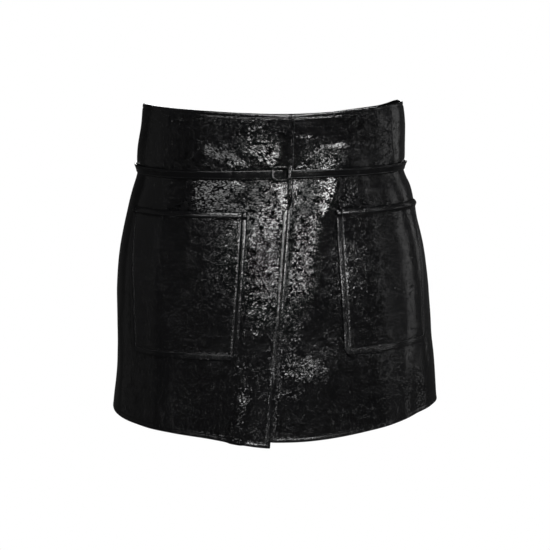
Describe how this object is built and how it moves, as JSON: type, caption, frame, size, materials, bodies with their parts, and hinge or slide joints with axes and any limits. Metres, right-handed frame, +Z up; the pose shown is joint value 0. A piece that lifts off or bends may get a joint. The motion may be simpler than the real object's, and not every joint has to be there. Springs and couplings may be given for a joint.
{
  "type": "mini skirt",
  "caption": "A-line mini skirt in glossy black coated cloth, in worn form, with patch pockets, a narrow belt with a covered slide buckle, and a lapped front vent.",
  "frame": {"origin": "the middle of the waist, level with the belt, where the wearer holds the skirt", "axes": "+Z up, +X the viewer's right (the wearer's left), -Y the front"},
  "size_m": [0.3892, 0.2607, 0.3759],
  "materials": {
    "coated_cloth": "glossy black coated cloth with a fine crushed grain",
    "pocket_cloth": "glossy black coated cloth with a fine crushed grain",
    "belt_cloth": "glossy black coated cloth, folded and edge-stitched",
    "buckle_cover": "glossy black coated cloth, smooth over a frame",
    "zip_metal": "black enamelled metal, satin"
  },
  "bodies": {
    "skirt": {"front_left_panel": "coated_cloth", "front_right_panel": "coated_cloth", "back_left_panel": "coated_cloth", "back_right_panel": "coated_cloth", "pocket_left": "pocket_cloth", "pocket_right": "pocket_cloth", "belt_strap": "belt_cloth", "buckle_frame": "buckle_cover", "zip_slider": "zip_metal"},
    "pull_tab": {"zip_tab": "zip_metal"}
  },
  "joints": [
    {"name": "pull_tab_hinge", "type": "hinge", "parent": "skirt", "child": "pull_tab", "pos_m": [0, 0.11263, 0.04465], "axis": [1, 0, 0], "range_deg": [-5, 165]}
  ]
}
